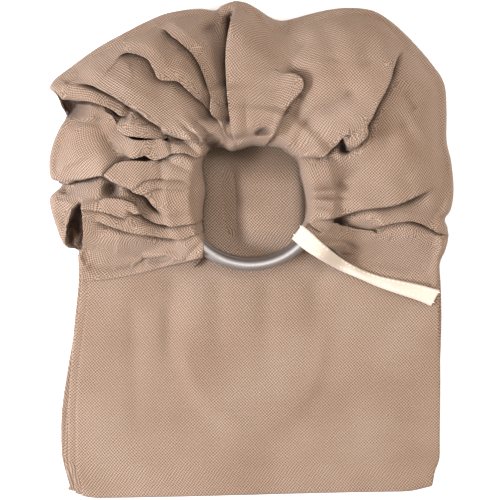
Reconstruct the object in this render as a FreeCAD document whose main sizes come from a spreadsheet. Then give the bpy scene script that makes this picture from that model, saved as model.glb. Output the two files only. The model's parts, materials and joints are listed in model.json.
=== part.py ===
"""Ring sling folded for storage: the folded tail lies flat, with the gathered ring end laid on top of it.

+Z is up and the sling lies on Z = 0. +X runs across the fold, +Y from its front fold to the gathered crown.
The origin is under the middle of the outline. Sizes are in millimetres and degrees. The cloth is one length,
so its nodes are stretches of that length, parted where one fold hides the next.
"""

import FreeCAD, Part

import math
import os
import sys

import Sketcher
from FreeCAD import Placement, Rotation, Vector

DRIVING = {
    # the pair of aluminium rings, one on top of the other, leaning back on the gathered cloth
    "ring_bore": 77.0,
    "ring_wire": 6.5,
    "ring_pair_gap": 0.4,
    "ring_rest_gap": 0.5,
    "ring_tilt": 14.0,
    "ring_middle_x": -0.5,
    "ring_foot_y": -7.2,
    # the cloth channel that holds both rings, open at the front where the wires are bare
    "casing_play": 0.5,
    "casing_inner_wall": 7.5,
    "casing_outer_wall": 3.0,
    "casing_top_wall": 4.0,
    "casing_under_wall": 2.0,
    "casing_mouth": 92.0,
    # the tail, folded in three across its width and then into lengths
    "tail_width": 213.0,
    "tail_front": -143.5,
    "tail_rear": 98.0,
    "panel_thick": 3.6,
    "panel_gap": 0.1,
    "panel_round": 1.6,
    "upper_shift": 0.5,
    "under_shift": -3.5,
    # the turned hem at the tail's free end, in the bottom length
    "hem_width": 12.0,
    "hem_gap": 0.3,
    # the gathered shoulder round the rings
    "gather_half_width": 117.0,
    "gather_rear": 143.5,
    "gather_top": 63.0,
    "gather_under_gap": 0.5,
    "gather_floor_gap": 3.6,
    "gather_behind_gap": 9.0,
    "gather_rear_tuck": 10.0,
    "lobe_gap": 0.2,
    # the cloth that leads from the folded tail back and up into the gather
    "return_thick": 2.6,
    "return_gap": 0.6,
    "return_reach": 27.0,
    # cream tape along the cloth's edge, where that edge lies open in front of the right flank
    "tape_width": 5.8,
    "tape_thick": 1.4,
    "tape_lift": 1.0,
    "tape_gap": 0.4,
    "tape_start_x": 43.0,
    "tape_start_y": 0.6,
    "tape_start_heading": -31.5,
    "tape_turn": 17.5,
    "tape_bend": 237.0,
    "tape_end_room": 4.0,
    # sewing thread
    "thread": 0.8,
    "thread_gap": 0.1,
    "seam_rows": 3.0,
    "seam_pitch": 5.0,
    "seam_end_room": 15.0,
}
PANELS = 6  # lengths of folded tail in the stack
UNDER_PANELS = 3  # how many of them lie a little further to the left
RETURN_SHARE = 0.6  # how much of the tail's width runs back along the floor, drawn in towards the gather
LOBES = {  # each lobe of the gather: the two headings that bound it, seen from the rings' middle
    "left_flank": (164.0, 236.0),
    "left_crown": (118.0, 164.0),
    "middle_crown": (72.0, 118.0),
    "right_crown": (26.0, 72.0),
    "right_flank": (-56.0, 26.0),
}
# The gather's outline from above, from its front left round the crown to its front right:
# across as a share of its half width, and along as a share of its rear reach
OUTLINE = [
    (-0.20, -0.01), (-0.52, -0.09), (-0.84, -0.12), (-0.91, 0.02), (-1.00, 0.19), (-0.99, 0.40),
    (-0.95, 0.55), (-0.98, 0.66), (-0.75, 0.83), (-0.45, 0.94), (-0.12, 1.00), (0.14, 0.94),
    (0.48, 0.98), (0.78, 0.84), (0.95, 0.65), (0.99, 0.40), (1.00, 0.19), (0.97, 0.02),
    (0.96, -0.19), (0.40, -0.19), (0.20, 0.00),
]
# Height of the gather's skin along Y: along as a share of its rear reach, up as a share of its top
SIDE_PROFILE = [
    (-0.24, 0.44), (0.0, 0.66), (0.28, 0.88), (0.50, 1.00), (0.74, 0.97), (0.90, 0.78), (1.0, 0.48),
]
# Height of the gather's skin along X: across as a share of its half width, up as a share of its top
FRONT_PROFILE = [(-1.0, 0.55), (-0.82, 0.84), (-0.45, 1.0), (0.45, 1.0), (0.82, 0.86), (1.0, 0.55)]

doc = FreeCAD.newDocument("ring_sling")
sheet = doc.addObject("Spreadsheet::Sheet", "dims")
for row, (alias, value) in enumerate(DRIVING.items(), start=1):
    sheet.set(f"A{row}", alias)
    sheet.set(f"B{row}", str(value))
    sheet.setAlias(f"B{row}", alias)
doc.recompute()
parts = {}


def size(alias):
    """A driving dimension, read back from the sheet."""
    return float(sheet.get(alias))


def bind(item, **expressions):
    """Ties properties of an object to expressions on the sheet; a double underscore stands for a dot."""
    for path, expression in expressions.items():
        item.setExpression(path.replace("__", "."), expression)
    return item


def keep(item, label):
    """Makes an object a sub-part: its label names the node."""
    item.Label = label
    parts[label] = item
    return item


def feature(name, shape):
    """An object that holds a shape built with Part's own functions."""
    item = doc.addObject("Part::Feature", name)
    item.Shape = shape
    return item


def prism(points, along):
    """A closed outline pushed out along a direction."""
    return Part.Face(Part.makePolygon(points + points[:1])).extrude(along)


def round_edges(name, base, radius, runs_along):
    """A fillet on every straight edge of a box that runs along one of the axes named."""
    doc.recompute()
    rounded = doc.addObject("Part::Fillet", name)
    rounded.Base = base
    chosen = []
    for number, edge in enumerate(base.Shape.Edges, start=1):
        run = edge.Vertexes[-1].Point - edge.Vertexes[0].Point
        if any(abs(run[axis]) > 1e-6 for axis in runs_along):
            chosen.append((number, radius, radius))
    rounded.Edges = chosen
    return keep(rounded, name)


# ---- places that several pieces share, worked out from the driving dimensions
MEAN = "(dims.ring_bore + dims.ring_wire) / 2"
HALF_PAIR = "(dims.ring_wire + dims.ring_pair_gap) / 2"
HOLLOW = "(dims.ring_wire / 2 + dims.casing_play)"
mean_radius = (size("ring_bore") + size("ring_wire")) / 2
half_pair = (size("ring_wire") + size("ring_pair_gap")) / 2
hollow = size("ring_wire") / 2 + size("casing_play")
stack_top = PANELS * size("panel_thick") + (PANELS - 1) * size("panel_gap")
tilt = Rotation(Vector(1, 0, 0), size("ring_tilt"))
ring_axis = tilt.multVec(Vector(0, 0, 1))
rest_height = stack_top + size("ring_rest_gap") + size("casing_play") + size("casing_under_wall")
ring_foot = Vector(size("ring_middle_x"), size("ring_foot_y"), rest_height + size("ring_wire") / 2)
pair_middle = ring_foot + tilt.multVec(Vector(0, mean_radius, half_pair))
casing_low_r = mean_radius - hollow - size("casing_inner_wall")
casing_high_r = mean_radius + hollow + size("casing_outer_wall")
casing_low_w = -half_pair - hollow - size("casing_under_wall")
casing_high_w = half_pair + hollow + size("casing_top_wall")
half_mouth = size("casing_mouth") / 2
front = -90.0  # heading of the casing's open mouth


def make_ring(label, side):
    """A sling ring: round aluminium wire bent and welded into a circle. side is -1 below and 1 above."""
    ring = bind(doc.addObject("Part::Torus", label), Radius1=MEAN, Radius2="dims.ring_wire / 2")
    ring.Placement = Placement(pair_middle + ring_axis * side * half_pair, tilt)
    return keep(ring, label)


def add_slot(sketch):
    """The long hole that holds both wires: two half circles and the two sides between them."""
    first = sketch.GeometryCount
    up = Vector(0, 0, 1)
    over, under = Vector(mean_radius, half_pair, 0), Vector(mean_radius, -half_pair, 0)
    near, far = mean_radius - hollow, mean_radius + hollow
    sketch.addGeometry(Part.ArcOfCircle(Part.Circle(over, up, hollow), 0, math.pi), False)
    sketch.addGeometry(Part.LineSegment(Vector(near, half_pair, 0), Vector(near, -half_pair, 0)), False)
    sketch.addGeometry(Part.ArcOfCircle(Part.Circle(under, up, hollow), math.pi, 2 * math.pi), False)
    sketch.addGeometry(Part.LineSegment(Vector(far, -half_pair, 0), Vector(far, half_pair, 0)), False)
    for piece in range(4):
        following = first + (piece + 1) % 4
        sketch.addConstraint(Sketcher.Constraint("Tangent", first + piece, 2, following, 1))
    return first, first + 2


def add_block(sketch):
    """The outside of the casing's section: a rectangle."""
    low, high = Vector(casing_low_r, casing_low_w, 0), Vector(casing_high_r, casing_high_w, 0)
    corners = [low, Vector(high.x, low.y, 0), high, Vector(low.x, high.y, 0)]
    for side in range(4):
        sketch.addGeometry(Part.LineSegment(corners[side], corners[(side + 1) % 4]), False)
    for side in range(4):
        sketch.addConstraint(Sketcher.Constraint("Coincident", side, 2, (side + 1) % 4, 1))
        sketch.addConstraint(Sketcher.Constraint("Vertical" if side % 2 else "Horizontal", side))


def make_casing():
    """The cloth channel: cloth folded round both rings and sewn to itself, turned round the rings' axis."""
    body = doc.addObject("PartDesign::Body", "ring_casing")
    sketch = body.newObject("Sketcher::SketchObject", "casing_section")
    plane = next(o for o in body.Origin.OriginFeatures if o.Role == "XZ_Plane")
    sketch.AttachmentSupport = (plane, [""])
    sketch.MapMode = "FlatFace"
    add_block(sketch)
    over, under = add_slot(sketch)
    measures = [
        ("DistanceX", (-1, 1, 0, 1), casing_low_r, f"{MEAN} - {HOLLOW} - dims.casing_inner_wall"),
        ("DistanceX", (-1, 1, 0, 2), casing_high_r, f"{MEAN} + {HOLLOW} + dims.casing_outer_wall"),
        ("DistanceY", (0, 1, -1, 1), -casing_low_w, f"{HALF_PAIR} + {HOLLOW} + dims.casing_under_wall"),
        ("DistanceY", (-1, 1, 1, 2), casing_high_w, f"{HALF_PAIR} + {HOLLOW} + dims.casing_top_wall"),
        ("Radius", (over,), hollow, HOLLOW),
        ("DistanceX", (-1, 1, over, 3), mean_radius, MEAN),
        ("DistanceY", (-1, 1, over, 3), half_pair, HALF_PAIR),
        ("DistanceY", (under, 3, -1, 1), half_pair, HALF_PAIR),
    ]
    for kind, where, value, expression in measures:
        index = sketch.addConstraint(Sketcher.Constraint(kind, *where, value))
        sketch.setExpression(f"Constraints[{index}]", expression)
    turn = body.newObject("PartDesign::Revolution", "casing_turn")
    turn.Profile = sketch
    turn.ReferenceAxis = (sketch, ["V_Axis"])
    bind(turn, Angle="360 - dims.casing_mouth")
    body.Placement = Placement(pair_middle, tilt.multiply(Rotation(Vector(0, 0, 1), front + half_mouth)))
    return keep(body, "ring_casing")


def make_casing_seam():
    """Rows of thread that close the channel, lying on its outer wall."""
    wire = size("thread") / 2
    reach = casing_high_r + size("thread_gap") + wire
    sweep = 360 - 2 * half_mouth - 2 * size("seam_end_room")
    rows = int(size("seam_rows"))
    loops = []
    for row in range(rows):
        level = (row - (rows - 1) / 2) * size("seam_pitch")
        loops.append(Part.makeTorus(reach, wire, Vector(0, 0, level), Vector(0, 0, 1), 0, 360, sweep))
    seam = feature("casing_seam", Part.makeCompound(loops))
    start = front + (360 - sweep) / 2
    seam.Placement = Placement(pair_middle, tilt.multiply(Rotation(Vector(0, 0, 1), start)))
    return keep(seam, "casing_seam")


def make_panel(number):
    """One length of the folded tail: three plies of cloth with rounded folds."""
    shift = "dims.under_shift" if number <= UNDER_PANELS else "dims.upper_shift"
    hem_room = " - dims.hem_width - dims.hem_gap" if number == 1 else ""
    slab = bind(
        doc.addObject("Part::Box", f"panel_slab_{number}"),
        Length="dims.tail_width",
        Width="dims.tail_rear - dims.tail_front" + hem_room,
        Height="dims.panel_thick",
        Placement__Base__x=f"{shift} - dims.tail_width / 2",
        Placement__Base__y="dims.tail_front",
        Placement__Base__z=f"{number - 1} * (dims.panel_thick + dims.panel_gap)",
    )
    radius = min(size("panel_round"), size("panel_thick") * 0.45)
    return round_edges(f"tail_panel_{number}", slab, radius, runs_along=(0, 1))


def make_hem():
    """The turned hem at the tail's free end, with room above it for its thread."""
    hem = bind(
        doc.addObject("Part::Box", "tail_hem"),
        Length="dims.tail_width",
        Width="dims.hem_width",
        Height="dims.panel_thick - dims.thread - dims.thread_gap",
        Placement__Base__x="dims.under_shift - dims.tail_width / 2",
        Placement__Base__y="dims.tail_rear - dims.hem_width",
    )
    return keep(hem, "tail_hem")


def make_hem_stitching():
    """Two rows of thread along the hem, on its upper face."""
    rows = []
    for name, share in (("near", 0.75), ("far", 0.25)):
        row = bind(
            doc.addObject("Part::Cylinder", f"hem_row_{name}"),
            Radius="dims.thread / 2",
            Height="dims.tail_width - dims.hem_width",
            Placement__Base__x="dims.under_shift - dims.tail_width / 2 + dims.hem_width / 2",
            Placement__Base__y=f"dims.tail_rear - {share} * dims.hem_width",
            Placement__Base__z="dims.panel_thick - dims.thread / 2 - dims.thread_gap / 2",
        )
        row.Placement.Rotation = Rotation(Vector(0, 1, 0), 90)
        rows.append(row)
    both = doc.addObject("Part::Compound", "tail_hem_stitching")
    both.Links = rows
    return keep(both, "tail_hem_stitching")


def make_return():
    """Cloth that drops behind the folded tail and runs back along the floor under the gather."""
    side = "dims.upper_shift - dims.tail_width / 2"
    drop = bind(
        doc.addObject("Part::Box", "return_drop"),
        Length="dims.tail_width",
        Width="2 * dims.return_thick",
        Height=f"{PANELS} * dims.panel_thick + {PANELS - 1} * dims.panel_gap",
        Placement__Base__x=side,
        Placement__Base__y="dims.tail_rear + dims.return_gap",
    )
    run = bind(
        doc.addObject("Part::Box", "return_run"),
        Length=f"dims.tail_width * {RETURN_SHARE}",
        Width="dims.return_reach",
        Height="dims.return_thick",
        Placement__Base__x=f"dims.upper_shift - dims.tail_width * {RETURN_SHARE} / 2",
        Placement__Base__y="dims.tail_rear + dims.return_gap + dims.return_thick",
    )
    joined = doc.addObject("Part::Fuse", "shoulder_return")
    joined.Base = drop
    joined.Tool = run
    return keep(joined, "shoulder_return")


def gather_block():
    """The gather's whole outside: its outline, its side profile and its front profile, all in common."""
    half, rear, top = size("gather_half_width"), size("gather_rear"), size("gather_top")
    under = stack_top + size("gather_under_gap")
    behind = size("tail_rear") + size("gather_behind_gap")
    floor = size("gather_floor_gap")
    tucked = rear - size("gather_rear_tuck")
    plan = [Vector(x * half, y * rear, 0) for x, y in OUTLINE]
    skin = [Vector(-half, y * rear, z * top) for y, z in SIDE_PROFILE]
    belly = [(tucked, floor), (behind, floor), (behind, under), (SIDE_PROFILE[0][0] * rear, under)]
    side = skin + [Vector(-half, y, z) for y, z in belly]
    arch = [Vector(x * half, -rear, z * top) for x, z in FRONT_PROFILE]
    arch = [Vector(-half, -rear, 0)] + arch + [Vector(half, -rear, 0)]
    block = prism(plan, Vector(0, 0, top)).common(prism(side, Vector(2 * half, 0, 0)))
    return block.common(prism(arch, Vector(0, 2 * rear, 0)))


def ring_room():
    """The room the gather leaves: over and round the casing with its seam, and the way under the rings."""
    clear = size("thread") + 2 * size("thread_gap") + size("lobe_gap")
    reach = size("gather_rear")
    over = Part.makeCylinder(casing_high_r + clear, reach, Vector(0, 0, casing_low_w - clear))
    way = Part.makeCylinder(mean_radius, reach, Vector(0, 0, -reach))
    room = over.fuse(way)
    room.Placement = Placement(pair_middle, tilt)
    return room


def tape_middle():
    """The middle of the circle that the tape follows."""
    heading = math.radians(size("tape_start_heading") + 90)
    start = Vector(size("tape_start_x"), size("tape_start_y"), 0)
    return start + Vector(math.cos(heading), math.sin(heading), 0) * size("tape_bend")


def tape_sector(low_r, high_r, low_z, high_z, spare=0.0):
    """A slice between two circles round the tape's middle, as long as the tape and a spare angle past it."""
    corners = [(low_r, low_z), (high_r, low_z), (high_r, high_z), (low_r, high_z), (low_r, low_z)]
    section = Part.Face(Part.makePolygon([Vector(reach, 0, level) for reach, level in corners]))
    turned = section.revolve(Vector(0, 0, 0), Vector(0, 0, 1), size("tape_turn") + 2 * spare)
    start = size("tape_start_heading") - 90 - spare
    turned.Placement = Placement(tape_middle(), Rotation(Vector(0, 0, 1), start))
    return turned


def make_tape():
    """The cream tape, bound over the cloth's edge."""
    half = size("tape_width") / 2
    low = stack_top + size("tape_lift")
    shape = tape_sector(size("tape_bend") - half, size("tape_bend") + half, low, low + size("tape_thick"))
    return keep(feature("edge_tape", shape), "edge_tape")


def make_tape_stitching():
    """A row of thread along each side of the tape, on its upper face."""
    wire = size("thread") / 2
    turn = size("tape_turn")
    level = stack_top + size("tape_lift") + size("tape_thick") + size("thread_gap") + wire
    rows = []
    for side in (-1, 1):
        reach = size("tape_bend") + side * size("tape_width") / 4
        rows.append(Part.makeTorus(reach, wire, Vector(0, 0, level), Vector(0, 0, 1), 0, 360, turn))
    stitching = feature("tape_stitching", Part.makeCompound(rows))
    stitching.Placement = Placement(tape_middle(), Rotation(Vector(0, 0, 1), size("tape_start_heading") - 90))
    return keep(stitching, "tape_stitching")


def make_lobes():
    """The gather, parted into lobes by upright planes through the rings' middle."""
    half = size("gather_half_width")
    edge = size("tape_bend") - size("tape_width") / 2 - size("tape_gap")
    tape_room = tape_sector(edge, edge + half, 0, size("gather_top"), spare=size("tape_end_room"))
    block = gather_block().cut(ring_room()).cut(tape_room)
    trim = math.degrees(size("lobe_gap") / 2 / mean_radius)
    middle = Vector(pair_middle.x, pair_middle.y, 0)
    for name, (low, high) in LOBES.items():
        span = high - low - 2 * trim
        wedge = Part.makeCylinder(3 * half, size("gather_top"), Vector(), Vector(0, 0, 1), span)
        wedge.Placement = Placement(middle, Rotation(Vector(0, 0, 1), low + trim))
        lobe = max(block.common(wedge).Solids, key=lambda solid: solid.Volume)
        keep(feature(f"gather_{name}", lobe), f"gather_{name}")


make_ring("lower_ring", side=-1)
make_ring("upper_ring", side=1)
make_casing()
make_casing_seam()
for panel in range(1, PANELS + 1):
    make_panel(panel)
make_hem()
make_hem_stitching()
make_return()
make_tape()
make_tape_stitching()
make_lobes()
doc.recompute()

failed = [item.Name for item in doc.Objects if "Invalid" in item.State or "Error" in item.State]
if failed:
    sys.exit(f"objects failed: {failed}")
os.makedirs("parts", exist_ok=True)
for label, item in parts.items():
    if item.Shape.isNull() or not item.Shape.isValid():
        sys.exit(f"{label} has no valid shape")
    item.Shape.exportStep(f"parts/{label}.step")
    box = item.Shape.BoundBox
    spans = f"{box.XLength:.1f} x {box.YLength:.1f} x {box.ZLength:.1f} mm from Z = {box.ZMin:.1f}"
    print(f"{label}: {len(item.Shape.Solids)} solids, {item.Shape.Volume:.0f} mm3, {spans}")
print(f"rings: middle {pair_middle}, axis {ring_axis}, half pitch {half_pair:.2f}, stack top {stack_top:.2f}")
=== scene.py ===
# %% [markdown]
# # A ring sling, folded for storage
# The sling is one long length of woven cotton with a pair of aluminium rings gathered into one end.
# Here its tail is folded into a flat pad, and the gathered shoulder lies on top in a ruffle round the rings.
# The CAD frame holds the sizes, the rings and the hinges. This script gives the cloth its real folds.

# %% Load the frame
import json
import math

import bpy
import numpy as np
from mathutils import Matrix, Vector
from mathutils.bvhtree import BVHTree


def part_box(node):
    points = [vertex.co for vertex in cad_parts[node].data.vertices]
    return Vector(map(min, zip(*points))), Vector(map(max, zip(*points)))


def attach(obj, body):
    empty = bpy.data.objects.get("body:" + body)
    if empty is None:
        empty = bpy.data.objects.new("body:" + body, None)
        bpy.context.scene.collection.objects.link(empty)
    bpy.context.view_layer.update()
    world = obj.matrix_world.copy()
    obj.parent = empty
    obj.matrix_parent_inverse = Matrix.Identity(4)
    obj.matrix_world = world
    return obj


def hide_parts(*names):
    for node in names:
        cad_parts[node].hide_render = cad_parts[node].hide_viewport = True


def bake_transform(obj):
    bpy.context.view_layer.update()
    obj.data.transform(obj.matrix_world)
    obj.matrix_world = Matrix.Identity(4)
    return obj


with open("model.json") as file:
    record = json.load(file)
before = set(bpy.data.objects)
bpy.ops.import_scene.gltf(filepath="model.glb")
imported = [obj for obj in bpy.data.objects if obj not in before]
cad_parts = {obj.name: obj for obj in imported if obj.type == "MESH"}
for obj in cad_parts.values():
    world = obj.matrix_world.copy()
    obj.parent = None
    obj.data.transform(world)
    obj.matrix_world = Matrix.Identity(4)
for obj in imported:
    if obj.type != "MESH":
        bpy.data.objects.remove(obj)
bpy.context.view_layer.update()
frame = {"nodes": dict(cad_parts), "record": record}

MM = 0.001

# %% [markdown]
# ## Places that the frame settles
# Everything is placed from the imported frame: the top of the folded tail and the plane of the two rings. The
# sling's lengths are in millimetres, and become metres where meshes are made.

# %% Read the places
joints = {joint["name"]: joint for joint in frame["record"]["behaviour"]["joints"]}
ring_middle = np.array(joints["upper_ring_turn"]["pos_m"]) / MM
ring_axis = np.array(joints["upper_ring_turn"]["axis"])
ring_slope = -ring_axis[1] / ring_axis[2]
ring_low, ring_high = np.array(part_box("upper_ring")) / MM
lower_ring_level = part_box("lower_ring")[0][2] / MM
hem_low, hem_high = np.array(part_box("tail_hem")) / MM
tail_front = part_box("tail_panel_1")[0][1] / MM
tail_rear, tail_top = np.array(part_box("tail_panel_6")[1][1:]) / MM
WIRE = 6.5  # the thickness of the rings' wire
ring_radius = (ring_high[0] - ring_low[0] - WIRE) / 2
print(f"ring radius {ring_radius:.2f}, tail top {tail_top:.1f}, tail from {tail_front:.1f} to {tail_rear:.1f}")

# %% [markdown]
# ## Helpers for sheets of cloth
# A sheet is a grid of points. A smooth path is drawn through a few chosen points, a grid is spread between
# paths, and the cloth's own UV map is kept in metres, so that the weave has its real scale everywhere.

# %% Path and grid helpers
def smooth_path(points, count):
    """A Catmull-Rom curve through the chosen points, sampled evenly along its length."""
    points = np.array(points, dtype=float)
    padded = np.vstack([2 * points[0] - points[1], points, 2 * points[-1] - points[-2]])
    pieces = []
    for index in range(len(points) - 1):
        a, b, c, d = padded[index:index + 4]
        t = np.linspace(0, 1, 24, endpoint=False)[:, None]
        cubic = 2 * b + (c - a) * t + (2 * a - 5 * b + 4 * c - d) * t**2 + (3 * b - a - 3 * c + d) * t**3
        pieces.append(cubic / 2)
    dense = np.vstack(pieces + [points[-1:]])
    run = np.concatenate([[0], np.cumsum(np.linalg.norm(np.diff(dense, axis=0), axis=1))])
    wanted = np.linspace(0, run[-1], count)
    return np.stack([np.interp(wanted, run, dense[:, axis]) for axis in range(dense.shape[1])], axis=1)


def ease(x):
    """A smooth step from 0 to 1."""
    x = np.clip(x, 0, 1)
    return x * x * (3 - 2 * x)


def hill(away, width, power=2):
    """1 at the middle of a rounded hill, and almost nothing past its width."""
    return np.exp(-((away / width) ** power))


def ring_reach(spots):
    """How far each spot lies from the upper ring's middle, seen from above."""
    return np.hypot(spots[..., 0] - ring_middle[0], spots[..., 1] - ring_middle[1])


def unit(vectors):
    """Each vector at length 1."""
    return vectors / np.maximum(np.linalg.norm(vectors, axis=-1, keepdims=True), 1e-9)


def run_length(points, axis):
    """Distance walked along one direction of a grid of points."""
    steps = np.linalg.norm(np.diff(points, axis=axis), axis=-1)
    first = np.zeros_like(np.take(steps, [0], axis=axis))
    return np.concatenate([first, np.cumsum(steps, axis=axis)], axis=axis)


def new_object(name, data):
    """An object in the scene that holds the given mesh, light or camera."""
    made = bpy.data.objects.new(name, data)
    bpy.context.scene.collection.objects.link(made)
    return made


def grid_piece(name, points, uv, flip=False):
    """A mesh from a grid of points in millimetres, with a UV map in metres."""
    rows, columns = points.shape[:2]
    numbers = np.arange(rows * columns).reshape(rows, columns)
    quads = np.stack([numbers[:-1, :-1], numbers[:-1, 1:], numbers[1:, 1:], numbers[1:, :-1]], axis=-1)
    quads = quads.reshape(-1, 4)
    if flip:
        quads = quads[:, ::-1]
    mesh = bpy.data.meshes.new(name)
    mesh.from_pydata((points.reshape(-1, 3) * MM).tolist(), [], quads.tolist())
    layer = mesh.uv_layers.new(name="cloth")
    layer.data.foreach_set("uv", (uv.reshape(-1, 2)[quads.ravel()] * MM).ravel().astype(np.float32))
    mesh.polygons.foreach_set("use_smooth", [True] * len(mesh.polygons))
    return new_object(name, mesh)


def apply_modifiers(piece):
    """Turns the piece's live modifiers into plain mesh."""
    depsgraph = bpy.context.evaluated_depsgraph_get()
    final = bpy.data.meshes.new_from_object(piece.evaluated_get(depsgraph), depsgraph=depsgraph)
    piece.modifiers.clear()
    piece.data = final
    return piece


def cloth_piece(name, points, cloth, uv=None, flip=False, thick=0.0, offset=0.0):
    """A sheet of cloth from its grid, with its thickness and material. Its UV is the distance walked on it."""
    if uv is None:
        uv = np.stack([run_length(points, 1), run_length(points, 0)], axis=-1)
    piece = grid_piece(name, points, uv, flip)
    if thick:
        wall = piece.modifiers.new("thickness", "SOLIDIFY")
        wall.thickness, wall.offset = thick * MM, offset
        apply_modifiers(piece)
    piece.data.materials.append(cloth)
    print(f"{name}: {len(piece.data.polygons)} faces")
    return piece


def store_painted_shade(piece, depth):
    """Stores a 0 to 1 painted shade on each point, which darkens the cloth's colour where shade collects in a
    crease.
    """
    layer = piece.data.attributes.new("crease", "FLOAT", "POINT")
    layer.data.foreach_set("value", np.asarray(depth, dtype=np.float32).ravel())


def surface_tree(piece):
    """A search tree of a piece's faces, for reading heights off it."""
    return BVHTree.FromPolygons([v.co for v in piece.data.vertices], [p.vertices for p in piece.data.polygons])


# %% [markdown]
# ## Materials
# The wrap is a bird's-eye weave of two close shades of taupe cotton: matt, a little fuzzy, with pin dots a
# millimetre or two apart. The colour and the bump come from the same crossed waves, so each dot is a raised
# crossing of threads. The tape is plain cream cotton, and the rings are satin anodised aluminium.
# Shade is also painted into the cotton's colour in its creases and hollows, through a stored crease value.

# %% Material helpers
def linear(hex_colour):
    """An sRGB hex value as linear red, green, blue and alpha."""
    parts = [int(hex_colour[i:i + 2], 16) / 255 for i in (1, 3, 5)]
    return [p / 12.92 if p <= 0.04045 else ((p + 0.055) / 1.055) ** 2.4 for p in parts] + [1.0]


def fill_inputs(tree, node, inputs):
    """Links or sets a node's inputs."""
    for socket, value in inputs.items():
        if isinstance(value, bpy.types.NodeSocket):
            tree.links.new(value, node.inputs[socket])
        else:
            node.inputs[socket].default_value = value
    return node


def add_node(tree, kind, inputs=None, **settings):
    """Adds a node, sets its settings, and fills its inputs."""
    node = tree.nodes.new(kind)
    for setting, value in settings.items():
        setattr(node, setting, value)
    return fill_inputs(tree, node, inputs or {})


def maths(tree, operation, *values, kind="ShaderNodeMath"):
    """The result of one maths step on its values."""
    return add_node(tree, kind, dict(enumerate(values)), operation=operation).outputs[0]


def noise(tree, place, scale, detail):
    """Smooth noise of a given scale."""
    return add_node(tree, "ShaderNodeTexNoise", {"Vector": place, "Scale": scale, "Detail": detail}).outputs[0]


def spread_range(tree, value, low, high, side="From"):
    """A value spread between two ends: from them to 0 and 1, or from 0 and 1 to them."""
    ends = {f"{side} Min": low, f"{side} Max": high}
    return add_node(tree, "ShaderNodeMapRange", {"Value": value, **ends}).outputs[0]


def mixed(tree, share, first, second, **settings):
    """A mix of two colours, each a socket or a hex value."""
    first, second = (linear(colour) if isinstance(colour, str) else colour for colour in (first, second))
    return add_node(tree, "ShaderNodeMix", {"Factor": share, 6: first, 7: second},
                    data_type="RGBA", **settings).outputs[2]


def relief(tree, height, distance_mm, strength):
    """A bump from a height."""
    return add_node(tree, "ShaderNodeBump",
                    {"Height": height, "Distance": distance_mm * MM, "Strength": strength}).outputs[0]


def new_material(name):
    """An empty material with a Principled shader, and its node tree."""
    material = bpy.data.materials.new(name)
    material.use_nodes = True
    tree = material.node_tree
    shader = next(node for node in tree.nodes if node.type == "BSDF_PRINCIPLED")
    return material, tree, shader


# %% Woven cotton
def woven_cotton(name, dark, light, warm, deep, repeat_mm, relief_mm):
    """Two-shade cotton cloth: crossed waves make its pin dots, slow noise makes its uneven dye, and the stored
    crease value mixes in painted shade towards the deep colour.
    """
    material, tree, shader = new_material(name)
    uv = add_node(tree, "ShaderNodeUVMap", uv_map="cloth").outputs[0]
    wander = add_node(tree, "ShaderNodeTexNoise", {"Vector": uv, "Scale": 260.0, "Detail": 1.0})
    wander = maths(tree, "SUBTRACT", wander.outputs["Color"], (0.5, 0.5, 0.5), kind="ShaderNodeVectorMath")
    wander = add_node(tree, "ShaderNodeVectorMath", {0: wander, "Scale": 0.9 * MM}, operation="SCALE")
    wander = wander.outputs[0]
    place = maths(tree, "ADD", uv, wander, kind="ShaderNodeVectorMath")
    waves_per_metre = 2 * math.pi / (repeat_mm * MM)
    turned = add_node(tree, "ShaderNodeMapping", {"Vector": place, "Scale": [waves_per_metre] * 3}).outputs[0]
    split = add_node(tree, "ShaderNodeSeparateXYZ", {0: turned}).outputs
    crossing = maths(tree, "MULTIPLY", maths(tree, "SINE", split[0]), maths(tree, "SINE", split[1]))
    height = maths(tree, "MULTIPLY_ADD", noise(tree, uv, 900.0, 2.0), 0.55, crossing)
    colour = mixed(tree, spread_range(tree, height, -0.8, 1.35), dark, light)
    dye = spread_range(tree, noise(tree, uv, 22.0, 2.0), 0.35, 0.75)
    colour = mixed(tree, dye, colour, warm, blend_type="MULTIPLY")
    # painted shade: the crease value darkens the colour towards the deep colour in creases and hollows
    crease = add_node(tree, "ShaderNodeAttribute", attribute_name="crease").outputs["Fac"]
    fill_inputs(tree, shader, {
        "Base Color": mixed(tree, crease, colour, deep), "Normal": relief(tree, height, relief_mm, 0.8),
        "Roughness": 0.92, "Specular IOR Level": 0.18, "Sheen Weight": 0.04, "Sheen Roughness": 0.5})
    return material


# the last colour of each cloth is its painted crease shade
taupe_cloth = woven_cotton("woven taupe cotton", "#423027", "#A7907D", "#EBE4DC", "#28160B",
                           repeat_mm=1.8, relief_mm=0.3)
cream_cloth = woven_cotton("woven cream cotton tape", "#AC9F90", "#C3B7A9", "#FAF3EE", "#9A8E80",
                           repeat_mm=1.1, relief_mm=0.12)


# %% Thread and metal
def spun_thread(name, colour):
    """Spun polyester sewing thread: matt, with a faint twist along it."""
    material, tree, shader = new_material(name)
    spot = add_node(tree, "ShaderNodeTexCoord").outputs["Object"]
    shade = spread_range(tree, noise(tree, spot, 2500.0, 1.0), 0.75, 1.0, side="To")
    fill_inputs(tree, shader, {"Base Color": mixed(tree, shade, "#000000", colour), "Roughness": 0.7})
    return material


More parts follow.
